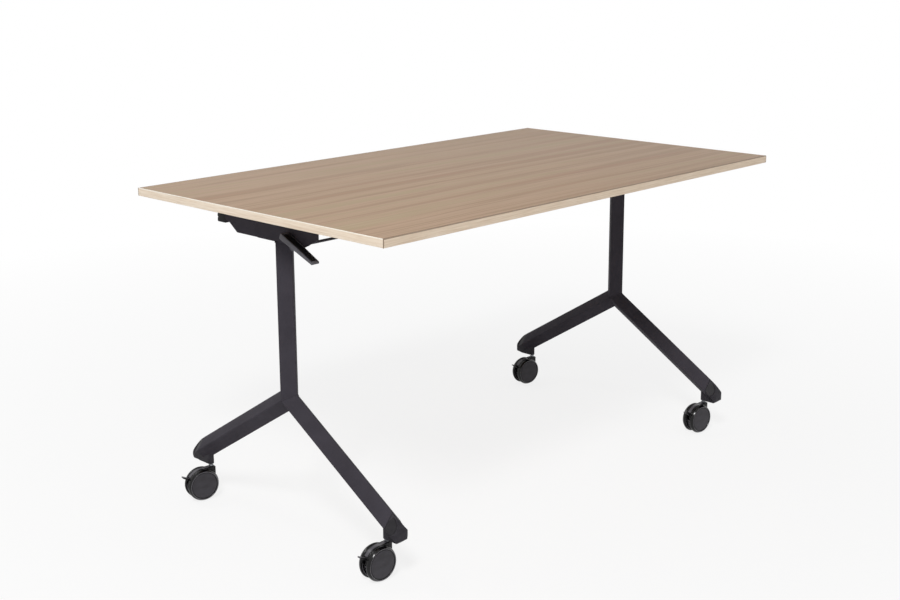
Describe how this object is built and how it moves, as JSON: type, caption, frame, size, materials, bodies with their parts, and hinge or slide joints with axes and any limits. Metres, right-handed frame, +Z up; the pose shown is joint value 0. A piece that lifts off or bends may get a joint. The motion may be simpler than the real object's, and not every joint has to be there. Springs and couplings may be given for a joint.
{
  "type": "flip top training table",
  "caption": "Rectangular training table whose wood-look top tilts upright on two inverted Y legs of square tube, with twin-wheel braked castors and a release lever under the top.",
  "frame": {"origin": "on the floor, under the middle of the top", "axes": "+X along the table towards the end without the lever, +Y across it from the user side to the hinge side, +Z up"},
  "size_m": [1.35, 0.8, 0.74],
  "materials": {
    "oak_laminate": "light oak laminate, fine grain along the length, satin",
    "oak_edge_band": "pale oak-look plastic edge band, satin",
    "anthracite_powder_coat": "anthracite powder coat, fine texture",
    "black_plastic": "black moulded plastic, satin",
    "wheel_plastic": "black nylon, satin cover inside a glossy rim",
    "zinc_plated_steel": "bright zinc plate",
    "white_nylon": "natural nylon"
  },
  "bodies": {
    "frame": {"beam_bolt_back_left": "zinc_plated_steel", "beam_bolt_back_right": "zinc_plated_steel", "beam_bolt_front_left": "zinc_plated_steel", "beam_bolt_front_right": "zinc_plated_steel", "castor_stem_back_left": "zinc_plated_steel", "castor_stem_back_right": "zinc_plated_steel", "castor_stem_front_left": "zinc_plated_steel", "castor_stem_front_right": "zinc_plated_steel", "column_left": "anthracite_powder_coat", "column_right": "anthracite_powder_coat", "crossbeam": "anthracite_powder_coat", "foot_back_left": "anthracite_powder_coat", "foot_back_right": "anthracite_powder_coat", "foot_cap_back_left": "black_plastic", "foot_cap_back_right": "black_plastic", "foot_cap_front_left": "black_plastic", "foot_cap_front_right": "black_plastic", "foot_front_left": "anthracite_powder_coat", "foot_front_right": "anthracite_powder_coat", "pivot_head_left": "anthracite_powder_coat", "pivot_head_right": "anthracite_powder_coat", "pivot_pin_left": "anthracite_powder_coat", "pivot_pin_right": "anthracite_powder_coat"},
    "top": {"arm_buffer_left": "black_plastic", "arm_buffer_right": "black_plastic", "edge_band_back": "oak_edge_band", "edge_band_front": "oak_edge_band", "edge_band_left": "oak_edge_band", "edge_band_right": "oak_edge_band", "rod_bush_left": "white_nylon", "rod_bush_right": "white_nylon", "table_top": "oak_laminate", "tilt_arm_left": "anthracite_powder_coat", "tilt_arm_right": "anthracite_powder_coat"},
    "release": {"latch_pawl_left": "zinc_plated_steel", "latch_pawl_right": "zinc_plated_steel", "release_lever": "black_plastic", "release_rod": "anthracite_powder_coat"},
    "castor_front_left": {"castor_housing_front_left": "black_plastic", "castor_axle_front_left": "zinc_plated_steel"},
    "brake_front_left": {"brake_tab_front_left": "black_plastic"},
    "castor_back_left": {"castor_housing_back_left": "black_plastic", "castor_axle_back_left": "zinc_plated_steel"},
    "brake_back_left": {"brake_tab_back_left": "black_plastic"},
    "castor_front_right": {"castor_housing_front_right": "black_plastic", "castor_axle_front_right": "zinc_plated_steel"},
    "brake_front_right": {"brake_tab_front_right": "black_plastic"},
    "castor_back_right": {"castor_housing_back_right": "black_plastic", "castor_axle_back_right": "zinc_plated_steel"},
    "brake_back_right": {"brake_tab_back_right": "black_plastic"},
    "wheel_a_front_left": {"wheel_a_front_left": "wheel_plastic"},
    "wheel_b_front_left": {"wheel_b_front_left": "wheel_plastic"},
    "wheel_a_back_left": {"wheel_a_back_left": "wheel_plastic"},
    "wheel_b_back_left": {"wheel_b_back_left": "wheel_plastic"},
    "wheel_a_front_right": {"wheel_a_front_right": "wheel_plastic"},
    "wheel_b_front_right": {"wheel_b_front_right": "wheel_plastic"},
    "wheel_a_back_right": {"wheel_a_back_right": "wheel_plastic"},
    "wheel_b_back_right": {"wheel_b_back_right": "wheel_plastic"}
  },
  "joints": [
    {"name": "flip_top", "type": "hinge", "parent": "frame", "child": "top", "pos_m": [0, 0.06, 0.704], "axis": [-1, 0, 0], "range_deg": [0, 90]},
    {"name": "release_lever_turn", "type": "hinge", "parent": "top", "child": "release", "pos_m": [0, -0.076, 0.6677], "axis": [-1, 0, 0], "range_deg": [-18, 12], "stiffness_Nm_per_rad": 1},
    {"name": "swivel_front_left", "type": "hinge", "parent": "frame", "child": "castor_front_left", "pos_m": [-0.584, -0.299, 0.079], "axis": [0, 0, 1], "continuous": true},
    {"name": "swivel_back_left", "type": "hinge", "parent": "frame", "child": "castor_back_left", "pos_m": [-0.584, 0.299, 0.079], "axis": [0, 0, 1], "continuous": true},
    {"name": "swivel_front_right", "type": "hinge", "parent": "frame", "child": "castor_front_right", "pos_m": [0.584, -0.299, 0.079], "axis": [0, 0, 1], "continuous": true},
    {"name": "swivel_back_right", "type": "hinge", "parent": "frame", "child": "castor_back_right", "pos_m": [0.584, 0.299, 0.079], "axis": [0, 0, 1], "continuous": true},
    {"name": "wheel_a_spin_front_left", "type": "hinge", "parent": "castor_front_left", "child": "wheel_a_front_left", "pos_m": [-0.60998, -0.3105, 0.0375], "axis": [-0.0785, -0.9969, 0], "continuous": true},
    {"name": "wheel_b_spin_front_left", "type": "hinge", "parent": "castor_front_left", "child": "wheel_b_front_left", "pos_m": [-0.60786, -0.28358, 0.0375], "axis": [-0.0785, -0.9969, 0], "continuous": true},
    {"name": "brake_press_front_left", "type": "hinge", "parent": "castor_front_left", "child": "brake_front_left", "pos_m": [-0.63005, -0.29538, 0.04877], "axis": [-0.0785, -0.9969, 0], "range_deg": [0, 22]},
    {"name": "wheel_a_spin_back_left", "type": "hinge", "parent": "castor_back_left", "child": "wheel_a_back_left", "pos_m": [-0.6114, 0.29147, 0.0375], "axis": [-0.225, -0.9744, 0], "continuous": true},
    {"name": "wheel_b_spin_back_left", "type": "hinge", "parent": "castor_back_left", "child": "wheel_b_back_left", "pos_m": [-0.60532, 0.31778, 0.0375], "axis": [-0.225, -0.9744, 0], "continuous": true},
    {"name": "brake_press_back_left", "type": "hinge", "parent": "castor_back_left", "child": "brake_back_left", "pos_m": [-0.62901, 0.30939, 0.04877], "axis": [-0.225, -0.9744, 0], "range_deg": [0, 22]},
    {"name": "wheel_a_spin_front_right", "type": "hinge", "parent": "castor_front_right", "child": "wheel_a_front_right", "pos_m": [0.55745, -0.30912, 0.0375], "axis": [-0.1305, -0.9914, 0], "continuous": true},
    {"name": "wheel_b_spin_front_right", "type": "hinge", "parent": "castor_front_right", "child": "wheel_b_front_right", "pos_m": [0.56098, -0.28235, 0.0375], "axis": [-0.1305, -0.9914, 0], "continuous": true},
    {"name": "brake_press_front_right", "type": "hinge", "parent": "castor_front_right", "child": "brake_front_right", "pos_m": [0.5382, -0.29297, 0.04877], "axis": [-0.1305, -0.9914, 0], "range_deg": [0, 22]},
    {"name": "wheel_a_spin_back_right", "type": "hinge", "parent": "castor_back_right", "child": "wheel_a_back_right", "pos_m": [0.55704, 0.29005, 0.0375], "axis": [-0.1736, -0.9848, 0], "continuous": true},
    {"name": "wheel_b_spin_back_right", "type": "hinge", "parent": "castor_back_right", "child": "wheel_b_back_right", "pos_m": [0.56172, 0.31664, 0.0375], "axis": [-0.1736, -0.9848, 0], "continuous": true},
    {"name": "brake_press_back_right", "type": "hinge", "parent": "castor_back_right", "child": "brake_back_right", "pos_m": [0.53851, 0.30702, 0.04877], "axis": [-0.1736, -0.9848, 0], "range_deg": [0, 22]}
  ]
}
